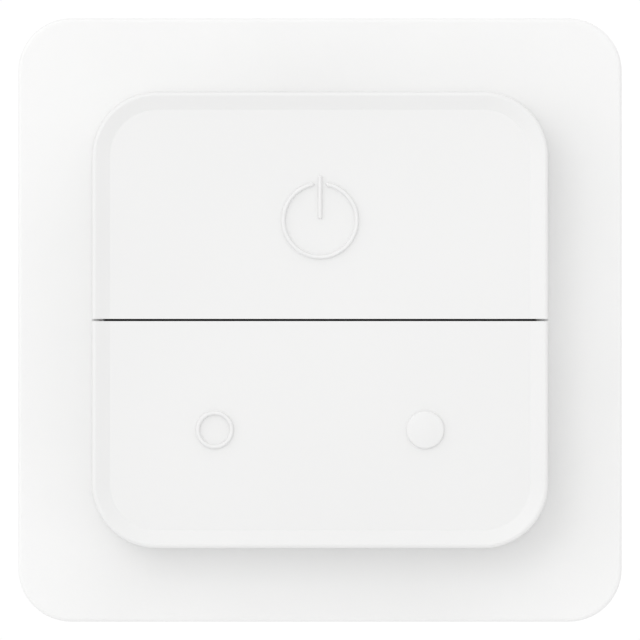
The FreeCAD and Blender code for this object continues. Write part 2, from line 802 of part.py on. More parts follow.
def key_underside(body, key, side):
    """Ribs, switch actuators and hanging arms under a key."""
    name = body.Label
    ribs = new_sketch(body, f"{name}_ribs", "key_under - key_rib_drop")
    for rise in ("key_rib_near", "key_rib_far"):
        middle = f"{side}{rise}"
        low, high = f"{middle} - key_rib / 2", f"{middle} + key_rib / 2"
        add_rectangle(ribs, "-key_rib_reach", "key_rib_reach", low, high)
    pad(body, ribs, "key_rib_drop")
    actuators = new_sketch(body, f"{name}_actuators", "plunger_front + actuator_gap")
    for switch, place in SWITCHES.items():
        if (switch == "power") == (key == "power"):
            add_circle(actuators, "actuator_width", *place)
    pad(body, actuators, "key_under - plunger_front - actuator_gap")
    arms = new_sketch(body, f"{name}_arms", "pin_level - arm_drop")
    pivot_rectangles(arms, key, "arm", "arm_width / 2")
    pad(body, arms, "key_under - pin_level + arm_drop")


def power_key():
    """Upper key on two pins across its top."""
    body = key_blank("power_key", "")
    key_underside(body, "power", "")
    for index, spans in enumerate(POWER_BEARINGS):
        start, end = spans["pin"]
        pin = new_sketch(body, f"power_pin_{index}", start, "YZ_Plane")
        add_circle(pin, "pin_width", "-pin_level", "power_pivot_rise")
        pad(body, pin, f"{end} - ({start})")
    return body


def dimmer_key():
    """Lower key on two pins along its upright middle."""
    body = key_blank("dimmer_key", "-")
    key_underside(body, "dimmer", "-")
    for index, spans in enumerate(DIMMER_BEARINGS):
        start, end = spans["pin"]
        pin = new_sketch(body, f"dimmer_pin_{index}", start, "XY_Plane")
        add_circle(pin, "pin_width", "0", "-pin_level")
        pad(body, pin, f"{end} - ({start})")
    return body


def magnet(name, x_sign, z_sign):
    """Disc magnet flush with the dock recess."""
    body = new_body(name)
    outline = new_sketch(body, f"{name}_outline", "floor_back")
    add_circle(outline, "magnet_bore", f"{x_sign}magnet_reach", f"{z_sign}magnet_rise")
    pad(body, outline, "magnet_thick")
    return body


def cylinder(name, diameter, length, x, z, level):
    """Cylinder that runs toward the front from a level."""
    item = doc.addObject("Part::Cylinder", name)
    item.Placement = Placement(Vector(), Rotation(Vector(1, 0, 0), 90))
    bind(item, "Radius", f"({diameter}) / 2")
    bind(item, "Height", length)
    bind(item, "Placement.Base.x", x)
    bind(item, "Placement.Base.y", f"-({level})")
    bind(item, "Placement.Base.z", z)
    return item


def housing_screws():
    """Four self-tapping screws from the back into the key frame's pillars."""
    screws = []
    for index, (x_sign, z_sign) in enumerate(CORNERS):
        place = f"{x_sign}post_offset", f"{z_sign}post_offset"
        head_level = "screw_level - screw_head_height"
        head = cylinder(f"screw_head_{index}", "screw_head", "screw_head_height", *place, head_level)
        length = "board_back + pilot_height - pilot_spare - screw_level"
        shank = cylinder(f"screw_shank_{index}", "screw_shank", length, *place, "screw_level")
        screw = doc.addObject("Part::Fuse", f"screw_{index}")
        screw.Base = head
        screw.Tool = shank
        screws.append(screw)
    group = doc.addObject("Part::Compound", "housing_screws")
    group.Label = "housing_screws"
    group.Links = screws
    return group


def build():
    """Build every node in assembly order, from the wall to the front."""
    nodes = [wall_plate(), keeper_plate("keeper_plate_upper", ""), keeper_plate("keeper_plate_lower", "-")]
    nodes += [adhesive_pad("adhesive_pad_left", "-"), adhesive_pad("adhesive_pad_right", "")]
    nodes += [rear_housing(), battery_cover(), coin_cell(), battery_holder()]
    nodes += [positive_contact(), negative_contact(), circuit_board()]
    nodes.append(radio_block("radio_board", "0", "board_back - radio_thick", "radio_thick"))
    level = "board_back - radio_thick - shield_thick"
    nodes.append(radio_block("radio_shield", "shield_margin", level, "shield_thick", "shield_edge"))
    for switch, place in SWITCHES.items():
        nodes.append(switch_body(f"{switch}_switch", place))
        nodes.append(switch_plunger(f"{switch}_plunger", place))
    nodes += [key_frame(), power_key(), dimmer_key()]
    for index, (x_sign, z_sign) in enumerate(CORNERS, start=1):
        nodes.append(magnet(f"magnet_{index}", x_sign, z_sign))
    nodes.append(housing_screws())
    return nodes


def export(nodes):
    """Check every object and write one file per node."""
    doc.recompute()
    faulty = [item.Label for item in doc.Objects if "Invalid" in item.State or "Error" in item.State]
    if faulty:
        raise RuntimeError(f"objects in error: {faulty}")
    os.makedirs("parts", exist_ok=True)
    for node in nodes:
        if node.Shape.isNull() or not node.Shape.isValid() or not node.Shape.Solids:
            raise RuntimeError(f"bad shape: {node.Label}")
        node.Shape.exportStep(f"parts/{node.Label}.step")


export(build())
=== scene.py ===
"""Finishes, raised signs, screws and studio stage of a wireless remote wall switch.

Everything is in metres in the frame of the solids: the wall is y = 0, the front faces -Y, +Z is up.
"""
import math

import bmesh
import bpy
from bpy.props import FloatProperty, FloatVectorProperty, IntProperty, PointerProperty
from mathutils import Matrix, Vector


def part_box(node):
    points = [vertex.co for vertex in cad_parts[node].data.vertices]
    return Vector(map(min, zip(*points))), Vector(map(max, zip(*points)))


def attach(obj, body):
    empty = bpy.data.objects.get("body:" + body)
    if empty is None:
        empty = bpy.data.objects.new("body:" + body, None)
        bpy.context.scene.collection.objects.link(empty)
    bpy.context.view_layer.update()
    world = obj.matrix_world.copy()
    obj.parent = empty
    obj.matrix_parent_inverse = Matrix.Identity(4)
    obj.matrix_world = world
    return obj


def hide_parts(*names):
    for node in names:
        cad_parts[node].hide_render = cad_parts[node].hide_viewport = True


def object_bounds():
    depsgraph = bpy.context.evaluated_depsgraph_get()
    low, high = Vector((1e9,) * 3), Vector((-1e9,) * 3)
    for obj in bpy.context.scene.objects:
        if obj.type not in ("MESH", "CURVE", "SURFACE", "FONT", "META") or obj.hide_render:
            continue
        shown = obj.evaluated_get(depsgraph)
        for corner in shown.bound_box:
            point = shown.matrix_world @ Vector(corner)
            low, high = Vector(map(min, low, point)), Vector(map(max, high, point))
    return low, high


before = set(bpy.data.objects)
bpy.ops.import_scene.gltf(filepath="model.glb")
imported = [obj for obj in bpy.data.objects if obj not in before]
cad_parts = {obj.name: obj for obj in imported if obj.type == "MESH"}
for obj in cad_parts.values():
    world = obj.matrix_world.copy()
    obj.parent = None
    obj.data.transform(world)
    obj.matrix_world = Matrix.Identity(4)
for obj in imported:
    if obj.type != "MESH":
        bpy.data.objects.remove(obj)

bl_info = {
    "name": "Wall Switch Remote",
    "version": (1, 0, 0),
    "blender": (4, 5, 0),
    "location": "View3D > Sidebar > Wall Switch",
    "description": "Finishes, signs and stage of a wireless remote wall switch",
    "category": "Object",
}

CAD_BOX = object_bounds()
MM = 0.001
EVEN = (1.0, 1.0, 1.0)
WHITE = (1.0, 1.0, 1.0, 1.0)
SHARP_CORNER = math.radians(35.0)
SIDE_STEPS = 8
END_STEPS = 12


def length(name, description, millimetres):
    """A size that a user may change, in metres."""
    return FloatProperty(
        name=name, description=description, default=millimetres * MM, unit="LENGTH", precision=5
    )


def share(name, description, default):
    """A plain number from 0 to 1."""
    return FloatProperty(name=name, description=description, default=default, min=0.0, max=1.0)


def brightness(name, description, default):
    """The strength of an even light."""
    return FloatProperty(name=name, description=description, default=default, min=0.0, max=4.0)


def power(name, description, watts):
    """The power of a light."""
    return FloatProperty(name=name, description=description, default=watts, unit="POWER")


def count(name, description, default, least):
    """A whole number of steps."""
    return IntProperty(name=name, description=description, default=default, min=least)


def colour(name, description, red, green, blue):
    """A colour that a user may change."""
    return FloatVectorProperty(
        name=name, description=description, default=(red, green, blue), size=3, subtype="COLOR",
        min=0.0, max=1.0,
    )


class FinishSettings(bpy.types.PropertyGroup):
    """Colours and grain of the moulded pieces, the board and the metals."""

    plate: colour("Wall plate", "White of the wall plate", 0.855, 0.855, 0.852)
    housing: colour("Housing", "White of the housing and battery cover", 0.79, 0.79, 0.787)
    keys: colour("Keys", "White of both keys and their signs", 0.79, 0.79, 0.787)
    # Painted shade: the key frame under the keys is near-black so that the gaps around the keys read as
    # deep shadow.
    inside: colour("Key frame", "Dark grey of the plate under the keys", 0.035, 0.035, 0.037)
    dark: colour("Switches", "Black of the battery holder and push switches", 0.02, 0.02, 0.022)
    plunger: colour("Plungers", "Brown grey of the switches' plungers", 0.24, 0.22, 0.19)
    foam: colour("Foam strips", "Grey of the adhesive foam", 0.42, 0.42, 0.41)
    board: colour("Board", "Green of the solder mask", 0.012, 0.085, 0.035)
    track: colour("Tracks", "Green of the solder mask over copper", 0.03, 0.16, 0.06)
    zinc: colour("Keeper plates", "Grey of the zinc plating", 0.60, 0.62, 0.65)
    nickel: colour("Magnets", "Grey of the nickel plating", 0.66, 0.64, 0.60)
    cell: colour("Coin cell", "Grey of the cell's steel", 0.66, 0.66, 0.65)
    spring: colour("Contacts", "Warm grey of the spring strips", 0.66, 0.60, 0.46)
    shield: colour("Shield", "Grey of the radio's shield", 0.68, 0.68, 0.67)
    screw: colour("Screws", "Grey of the screws' steel", 0.52, 0.53, 0.55)
    grain: length("Grain", "Width of the moulded texture's grains", 0.24)
    grain_depth: length("Grain depth", "Height of the moulded texture", 0.006)
    satin: share("Key roughness", "Roughness of the satin keys", 0.42)
    matt: share("Plate roughness", "Roughness of the textured plate", 0.55)
    touch_width: length("Touch width", "Half the width of the glossier patch around a sign", 12.5)
    touch_height: length("Touch height", "Half the height of the glossier patch around a sign", 9.0)


class SignSettings(bpy.types.PropertyGroup):
    """Raised signs on the keys."""

    relief: length("Relief", "Height of the signs above the face", 0.48)
    line: length("Line", "Width of a sign's line", 0.6)
    edge: length("Edge", "Width of the round along each side of a line", 0.26)
    sink: length("Sink", "How far a sign reaches into the key", 0.1)
    dish: length("Dish", "Depth of the face behind the key's lip", 0.6)
    power_width: length("Power ring", "Outside width of the power sign's ring", 10.3)
    power_rise: length("Power height", "Height of the power ring's centre", 13.15)
    power_gap: length("Power gap", "Opening at the top of the ring", 1.55)
    bar_top: length("Bar top", "Height of the bar's upper end", 19.1)
    bar_foot: length("Bar foot", "Height of the bar's lower end", 13.3)
    small_width: length("Ring and disc", "Outside width of the two small signs", 5.08)
    small_reach: length("Small signs apart", "Distance of the small signs from the middle", 13.9)
    small_drop: length("Small signs down", "Distance of the small signs below the middle", 14.5)
    steps: count("Steps", "Points around a ring", 96, 24)


class ScrewSettings(bpy.types.PropertyGroup):
    """Cross-recessed housing screws."""

    head: length("Head", "Width of a screw's head", 3.6)
    head_height: length("Head height", "Height of a screw's head", 1.3)
    dome: length("Dome", "Radius along the head's edge", 0.6)
    shank: length("Shank", "Outside width of the thread", 2.0)
    pitch: length("Pitch", "Distance between the thread's turns", 0.8)
    thread: length("Thread", "Depth of the thread", 0.28)
    point: share("Point", "Share of the shank that narrows to the tip", 0.18)
    recess: length("Recess", "Width across the cross recess", 2.2)
    blade: length("Blade", "Width of one arm of the recess", 0.5)
    depth: length("Recess depth", "Depth of the recess", 0.7)
    steps: count("Steps", "Points around a screw", 40, 16)
    dome_steps: count("Dome steps", "Rings up the head's rounded edge", 6, 2)
    thread_steps: count("Thread steps", "Rings along the shank", 48, 16)


class StageSettings(bpy.types.PropertyGroup):
    """Camera, lights and floor."""

    distance: length("Distance", "Camera distance from the plate", 2500.0)
    width: length("View width", "Width that the picture shows at the plate", 84.85)
    plate_depth: length("Plate depth", "Distance of the plate's front from the wall", 3.0)
    sky_left: brightness("Sky left", "Brightness of the even light from the left", 1.325)
    sky_right: brightness("Sky right", "Brightness of the even light from the right", 0.875)
    sky_top: brightness("Sky top", "Brightness of the even light from above", 1.11)
    sky_back: brightness("Sky back", "Brightness of the even light from behind", 0.62)
    backdrop: brightness("Backdrop", "Brightness of the background that the camera sees", 1.02)
    front_power: power("Front light", "Power of the soft light in front", 2.1)
    back_power: power("Back light", "Power of the soft light behind", 4.0)
    floor: colour("Floor", "Grey of the floor", 0.64, 0.64, 0.64)
    floor_light: brightness("Floor light", "Brightness of the even light from the floor", 0.935)
    floor_rim: brightness("Floor rim", "Brightness of the floor's rim", 1.05)
    floor_drop: length("Floor drop", "Distance of the floor below the plate", 32.0)
    floor_radius: length("Floor radius", "Radius of the floor", 700.0)
    floor_plain: length("Plain floor", "Radius within which the floor doesn't fade", 200.0)
    floor_faded: length("Faded floor", "Radius past which the floor is all rim", 600.0)
    floor_haze: share("Floor haze", "Share of the rim's brightness all over the floor", 0.12)


class Value:
    """A shader socket that takes arithmetic."""

    def __init__(self, finish, socket):
        self.finish = finish
        self.socket = socket

    def __add__(self, other):
        return self.finish.maths("ADD", self, other)

    __radd__ = __add__

    def __sub__(self, other):
        return self.finish.maths("SUBTRACT", self, other)

    def __rsub__(self, other):
        return self.finish.maths("SUBTRACT", other, self)

    def __mul__(self, other):
        return self.finish.maths("MULTIPLY", self, other)

    __rmul__ = __mul__

    def __truediv__(self, other):
        return self.finish.maths("DIVIDE", self, other)

    def __rtruediv__(self, other):
        return self.finish.maths("DIVIDE", other, self)


class Finish:
    """A node tree and the one way to add nodes to it."""

    def __init__(self, tree):
        self.tree = tree
        tree.nodes.clear()

    def node(self, kind, settings=None, inputs=None, output=0):
        """Adds a node: its settings first, then the values or links of its sockets."""
        node = self.tree.nodes.new(kind)
        for name, value in (settings or {}).items():
            setattr(node, name, value)
        for name, value in (inputs or {}).items():
            if isinstance(value, Value):
                self.tree.links.new(value.socket, node.inputs[name])
            else:
                node.inputs[name].default_value = value
        return Value(self, node.outputs[output]) if node.outputs else node

    def maths(self, operation, first, second):
        """One Math node."""
        return self.node("ShaderNodeMath", {"operation": operation}, {0: first, 1: second})

    def within(self, value, low, high, smooth=False):
        """0 below low, 1 above high."""
        kind = "SMOOTHSTEP" if smooth else "LINEAR"
        inputs = {"Value": value, "From Min": low, "From Max": high}
        return self.node("ShaderNodeMapRange", {"interpolation_type": kind, "clamp": True}, inputs)

    def tint(self, mask, plain, other):
        """plain where the mask is 0, other where it is 1."""
        inputs = {0: mask, 6: solid(plain), 7: solid(other)}
        return self.node("ShaderNodeMix", {"data_type": "RGBA"}, inputs, 2)

    def drift(self, noise, shade, darkest, lightest):
        """A colour that wanders from darker to lighter with a noise."""
        return self.tint(self.within(noise, 0.3, 0.7), scaled(shade, darkest), scaled(shade, lightest))

    def place(self, stretch=EVEN):
        """Position on the object, stretched along its axes."""
        position = self.node("ShaderNodeTexCoord", output="Object")
        if stretch == EVEN:
            return position
        settings = {"operation": "MULTIPLY"}
        return self.node("ShaderNodeVectorMath", settings, {0: position, 1: stretch})

    def axis(self, letter):
        """One coordinate of the position on the object."""
        return self.node("ShaderNodeSeparateXYZ", None, {0: self.place()}, letter)

    def noise(self, width, detail=2.0, rough=0.5, stretch=EVEN):
        """Even noise whose patches are about as wide as given."""
        inputs = {"Vector": self.place(stretch), "Scale": 1 / width}
        inputs.update({"Detail": detail, "Roughness": rough})
        return self.node("ShaderNodeTexNoise", None, inputs)

    def cells(self, width, stretch=EVEN):
        """Distance from the middles of cells about as wide as given."""
        inputs = {"Vector": self.place(stretch), "Scale": 1 / width}
        return self.node("ShaderNodeTexVoronoi", None, inputs, "Distance")

    def bump(self, height, depth):
        """A surface normal from a height of 0 to 1 and the real depth."""
        return self.node("ShaderNodeBump", None, {"Distance": depth, "Height": height})

    def surface(self, **inputs):
        """The main shader, with its sockets' names in lower case and underscores."""
        names = {"ior": "IOR"}
        sockets = {names.get(key, key.replace("_", " ").title()): each for key, each in inputs.items()}
        shader = self.node("ShaderNodeBsdfPrincipled", None, sockets)
        self.node("ShaderNodeOutputMaterial", None, {"Surface": shader})

    def glow(self, kind, strength):
        """An even white light: a Background in a world or an Emission in a material."""
        return self.node(kind, None, {"Color": WHITE, "Strength": strength})

    def mix(self, factor, first, second):
        """The first shader where the factor is 0, the second where it is 1."""
        return self.node("ShaderNodeMixShader", None, {0: factor, 1: first, 2: second})

    def seen(self):
        """1 for what the picture shows directly, 0 for what only lights the object."""
        return self.node("ShaderNodeLightPath", output="Is Camera Ray")


def solid(shade):
    """A colour or a link, with full cover."""
    return shade if isinstance(shade, Value) else (*tuple(shade)[:3], 1.0)


def scaled(shade, factor):
    """A colour made lighter or darker."""
    return tuple(min(1.0, part * factor) for part in tuple(shade)[:3])


def new_finish(name, shade):
    """A material and its node tree."""
    material = bpy.data.materials.new(name)
    material.use_nodes = True
    material.diffuse_color = solid(shade)
    return material, Finish(material.node_tree)


def moulded(name, shade, settings, rough, depth_share=1.0):
    """Plastic from a textured mould: fine grains, shallow pits and slightly uneven gloss."""
    material, finish = new_finish(name, shade)
    fine = finish.noise(settings.grain, 3.0, 0.6)
    pits = finish.cells(settings.grain * 1.7)
    flow = finish.noise(22 * MM, 2.0)
    height = 0.65 * fine + 0.35 * pits
    finish.surface(
        base_color=finish.drift(flow, shade, darkest=0.985, lightest=1.01),
        roughness=rough + 0.10 * (fine - 0.5) + 0.06 * (flow - 0.5),
        normal=finish.bump(height, settings.grain_depth * depth_share),
        ior=1.49,
    )
    return material


def satin_keys(name, settings, signs):
    """Satin plastic: a finer, shallower grain, and a little more gloss where fingers press."""
    shade = settings.keys
    material, finish = new_finish(name, shade)
    fine = finish.noise(settings.grain * 0.6, 2.0, 0.5)
    flow = finish.noise(30 * MM, 1.5)
    across = finish.axis("X") / settings.touch_width
    upright = finish.axis("Z")
    apart = signs.small_reach / settings.touch_width
    side = finish.maths("PINGPONG", across, apart) - apart
    upper = (upright - signs.power_rise) / settings.touch_height
    lower = (upright + signs.small_drop) / settings.touch_height
    nearest = finish.maths("MINIMUM", across * across + upper * upper, side * side + lower * lower)
    touched = 1 - finish.within(nearest, 0.15, 1.2, smooth=True)
    finish.surface(
        base_color=finish.drift(flow, shade, darkest=0.99, lightest=1.008),
        roughness=settings.satin + 0.05 * (fine - 0.5) + 0.05 * (flow - 0.5) - 0.05 * touched,
        normal=finish.bump(fine, settings.grain_depth * 0.22),
        ior=1.49,
    )
    return material


def foam(name, shade):
    """Closed-cell foam with a thin adhesive skin."""
    material, finish = new_finish(name, shade)
    cells = finish.cells(0.45 * MM)
    patches = finish.noise(4 * MM, 3.0)
    finish.surface(
        base_color=finish.tint(cells * (0.7 + 0.6 * patches), scaled(shade, 1.15), scaled(shade, 0.7)),
        roughness=0.62 + 0.25 * (patches - 0.5),
        normal=finish.bump(cells, 0.06 * MM),
        ior=1.45,
    )
    return material


def plated(name, shade, rough, brush=EVEN, stain=0.8):
    """Plated metal: drawn lines along the longest stretch and faint cloudy patches."""
    material, finish = new_finish(name, shade)
    lines = finish.noise(0.12 * MM, 3.0, 0.6, brush)
    clouds = finish.noise(3 * MM, 3.0)
    finish.surface(
        base_color=finish.tint(finish.within(clouds, 0.35, 0.7), shade, scaled(shade, stain)),
        metallic=1.0,
        roughness=rough + 0.16 * (lines - 0.5) + 0.14 * (clouds - 0.5),
        normal=finish.bump(lines, 0.002 * MM),
    )
    return material


def laminate(name, shade, track):
    """Solder-masked board: copper tracks under the mask, with the weave's faint relief."""
    material, finish = new_finish(name, shade)
    flat = (1.0, 0.0, 1.0)
    spacing = 1.1 * MM
    weave = finish.cells(0.6 * MM, flat)
    across = finish.maths("PINGPONG", finish.axis("X"), spacing) / spacing
    blocks = finish.noise(9 * MM, 0.0, stretch=flat)
    tracks = finish.within(across, 0.62, 0.7) * finish.within(blocks, 0.5, 0.52)
    finish.surface(
        base_color=finish.tint(tracks, shade, track),
        roughness=0.32 + 0.12 * weave,
        normal=finish.bump(tracks + 0.2 * weave, 0.02 * MM),
        ior=1.5,
    )
    return material


def dress(material, *nodes):
    """Gives CAD nodes a finish in place of their plain material."""
    for name in nodes:
        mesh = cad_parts[name].data
        mesh.materials.clear()
        mesh.materials.append(material)


def finish_of(node):
    """The finish that a CAD node has been given."""
    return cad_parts[node].data.materials[0]


def new_piece(name, shape, body, material):
    """A finished shape as a piece that rides on a body."""
    mesh = mesh_of(shape, name)
    mesh.polygons.foreach_set("use_smooth", [True] * len(mesh.polygons))
    mesh.set_sharp_from_angle(angle=SHARP_CORNER)
    mesh.materials.append(material)
    piece = bpy.data.objects.new(name, mesh)
    bpy.context.scene.collection.objects.link(piece)
    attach(piece, body)
    return piece


def mesh_of(shape, name):
    """A mesh, facing outward, from a bmesh that is then freed."""
    shape.normal_update()
    bmesh.ops.recalc_face_normals(shape, faces=shape.faces)
    mesh = bpy.data.meshes.new(name)
    shape.to_mesh(mesh)
    shape.free()
    return mesh


def line_levels(settings, face):
    """Insets and levels up a raised line's side, from within the key to its rounded top."""
    levels = [(0.0, face + settings.sink)]
    for step in range(SIDE_STEPS + 1):
        turn = math.pi / 2 * step / SIDE_STEPS
        levels.append((settings.edge * (1 - math.cos(turn)), face - settings.relief * math.sin(turn)))
    return levels


def add_loop(shape, points, level):
    """Vertices of an outline at one level."""
    return [shape.verts.new((x, level, z)) for x, z in points]


def join_loops(shape, loops):
    """Quads between each loop and the next, all of equal length."""
    for lower, upper in zip(loops, loops[1:]):
        for index in range(len(lower)):
            after = (index + 1) % len(lower)
            shape.faces.new((lower[index], lower[after], upper[after], upper[index]))


def close_loops(shape, loops):
    """A closed skin over a stack of loops, flat at both ends."""
    join_loops(shape, loops)
    for loop in (loops[0], loops[-1]):
        shape.faces.new(loop)


def circle(centre, radius, steps):
    """Points on a circle, clockwise from its top."""
    turns = (2 * math.pi * step / steps for step in range(steps))
    return [(centre[0] + radius * math.sin(t), centre[1] + radius * math.cos(t)) for t in turns]


def stroke(path, half):
    """Outline of a line with round ends: one side, an end, the other side and an end."""
    sides = []
    for index, (x, z) in enumerate(path):
        before = path[max(index - 1, 0)]
        after = path[min(index + 1, len(path) - 1)]
        along = Vector((after[0] - before[0], after[1] - before[1])).normalized()
        sides.append((Vector((x, z)), Vector((-along.y, along.x)), along))
    outline = []
    for reach, row in ((half, sides), (-half, sides[::-1])):
        outline += [place + normal * reach for place, normal, _ in row]
        place, normal, along = row[-1]
        for step in range(1, END_STEPS):
            turn = math.pi * step / END_STEPS
            outline.append(place + (normal * math.cos(turn) + along * math.sin(turn)) * reach)
    return [tuple(point) for point in outline]


def fill_stroke(shape, loop, count_along):
    """Closes the flat of a line: quads along it and one face at each end."""
    turned = count_along + END_STEPS - 1
    left = loop[:count_along]
    right = loop[turned:turned + count_along][::-1]
    for index in range(count_along - 1):
        shape.faces.new((left[index], left[index + 1], right[index + 1], right[index]))
    shape.faces.new(loop[count_along - 1:turned + 1])
    shape.faces.new((*loop[turned + count_along - 1:], loop[0]))


def add_line(shape, path, width, levels):
    """A raised line with round ends along a path."""
    loops = [add_loop(shape, stroke(path, width / 2 - inset), level) for inset, level in levels]
    join_loops(shape, loops)
    for loop in (loops[0], loops[-1]):
        fill_stroke(shape, loop, len(path))


def add_ring(shape, centre, width, line, levels, steps):
    """A raised closed ring."""
    outer = [add_loop(shape, circle(centre, width / 2 - inset, steps), y) for inset, y in levels]
    inner = [add_loop(shape, circle(centre, width / 2 - line + inset, steps), y) for inset, y in levels]
    join_loops(shape, outer + inner[::-1] + outer[:1])


def add_disc(shape, centre, width, levels, steps):
    """A raised disc with a flat top."""
    loops = [add_loop(shape, circle(centre, width / 2 - inset, steps), y) for inset, y in levels]
    close_loops(shape, loops)


def face_level(key, settings):
    """Level of a key's dished face."""
    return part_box(key)[0].y + settings.dish


class WALLSWITCH_OT_plate(bpy.types.Operator):
    """Finish the wall plate and its foam strips"""

    bl_idname = "wallswitch.plate"
    bl_label = "Finish wall plate"

    def execute(self, context):
        settings = context.scene.wallswitch_finish
        dress(moulded("plate_plastic_finish", settings.plate, settings, settings.matt), "wall_plate")
        dress(foam("foam_finish", settings.foam), "adhesive_pad_left", "adhesive_pad_right")
        return {"FINISHED"}


class WALLSWITCH_OT_housing(bpy.types.Operator):
    """Finish the housing and its battery cover, and give the key frame a near-black painted shade for the
    shadowed gaps under the keys
    """

    bl_idname = "wallswitch.housing"
    bl_label = "Finish housing"

    def execute(self, context):
        settings = context.scene.wallswitch_finish
        plastic = moulded("housing_plastic_finish", settings.housing, settings, rough=0.5, depth_share=0.6)
        dress(plastic, "rear_housing", "battery_cover")
        # The key frame's near-black colour is painted shade, standing in for the shadow in the gaps around
        # the keys.
        dress(moulded("frame_painted_shade_finish", settings.inside, settings, rough=0.6), "key_frame")
        return {"FINISHED"}


class WALLSWITCH_OT_keys(bpy.types.Operator):
    """Finish both keys"""

    bl_idname = "wallswitch.keys"
    bl_label = "Finish keys"

    def execute(self, context):
        scene = context.scene
        plastic = satin_keys("key_plastic_finish", scene.wallswitch_finish, scene.wallswitch_signs)
        dress(plastic, "power_key", "dimmer_key")
        return {"FINISHED"}


class WALLSWITCH_OT_metal(bpy.types.Operator):
    """Finish the keeper plates, magnets, contacts, coin cell and shield"""

    bl_idname = "wallswitch.metal"
    bl_label = "Finish metal"

    def execute(self, context):
        settings = context.scene.wallswitch_finish
        drawn_across = (0.03, 1.0, 1.0)
        drawn_up = (1.0, 1.0, 0.05)
        zinc = plated("zinc_steel_finish", settings.zinc, rough=0.36, brush=drawn_across, stain=0.92)
        dress(zinc, "keeper_plate_upper", "keeper_plate_lower")
        nickel = plated("nickel_finish", settings.nickel, rough=0.22)
        dress(nickel, *(f"magnet_{index}" for index in range(1, 5)))
        cell = plated("cell_steel_finish", settings.cell, rough=0.26, brush=drawn_up, stain=0.9)
        dress(cell, "coin_cell")
        spring = plated("spring_steel_finish", settings.spring, rough=0.3, brush=drawn_across)
        dress(spring, "positive_contact", "negative_contact")
        shield = plated("shield_steel_finish", settings.shield, rough=0.34, brush=drawn_across, stain=0.9)
        dress(shield, "radio_shield")
        return {"FINISHED"}


class WALLSWITCH_OT_board(bpy.types.Operator):
    """Finish the circuit board, radio board, battery holder and push switches"""

    bl_idname = "wallswitch.board"
    bl_label = "Finish board"

    def execute(self, context):
        settings = context.scene.wallswitch_finish
        mask = laminate("board_laminate_finish", settings.board, settings.track)
        dress(mask, "circuit_board", "radio_board")
        black = moulded("dark_plastic_finish", settings.dark, settings, rough=0.5)
        dress(black, "battery_holder", "power_switch", "dim_switch", "bright_switch")
        grey = moulded("plunger_plastic_finish", settings.plunger, settings, rough=0.45)
        dress(grey, "power_plunger", "dim_plunger", "bright_plunger")
        return {"FINISHED"}


class WALLSWITCH_OT_power_sign(bpy.types.Operator):
    """Raise the power sign on the upper key: an open ring and a bar"""

    bl_idname = "wallswitch.power_sign"
    bl_label = "Raise power sign"

    def execute(self, context):
        settings = context.scene.wallswitch_signs
        levels = line_levels(settings, face_level("power_key", settings))
        radius = (settings.power_width - settings.line) / 2
        opening = (settings.power_gap + settings.line) / 2 / radius
        sweep = 2 * math.pi - 2 * opening
        turns = [opening + sweep * step / settings.steps for step in range(settings.steps + 1)]
        arc = [(radius * math.sin(t), settings.power_rise + radius * math.cos(t)) for t in turns]
        half = settings.line / 2
        bar = [(0.0, settings.bar_top - half), (0.0, settings.bar_foot + half)]
        sign = bmesh.new()
        for path in (arc, bar):
            add_line(sign, path, settings.line, levels)
        new_piece("power_sign", sign, "power_key", finish_of("power_key"))
        return {"FINISHED"}


class WALLSWITCH_OT_dimmer_signs(bpy.types.Operator):
    """Raise the ring and the disc on the lower key"""

    bl_idname = "wallswitch.dimmer_signs"
    bl_label = "Raise dimmer signs"

    def execute(self, context):
        settings = context.scene.wallswitch_signs
        levels = line_levels(settings, face_level("dimmer_key", settings))
        material = finish_of("dimmer_key")
        left = (-settings.small_reach, -settings.small_drop)
        right = (settings.small_reach, -settings.small_drop)
        ring = bmesh.new()
        add_ring(ring, left, settings.small_width, settings.line, levels, settings.steps)
        new_piece("dim_sign", ring, "dimmer_key", material)
        disc = bmesh.new()
        add_disc(disc, right, settings.small_width, levels, settings.steps)
        new_piece("bright_sign", disc, "dimmer_key", material)
        return {"FINISHED"}


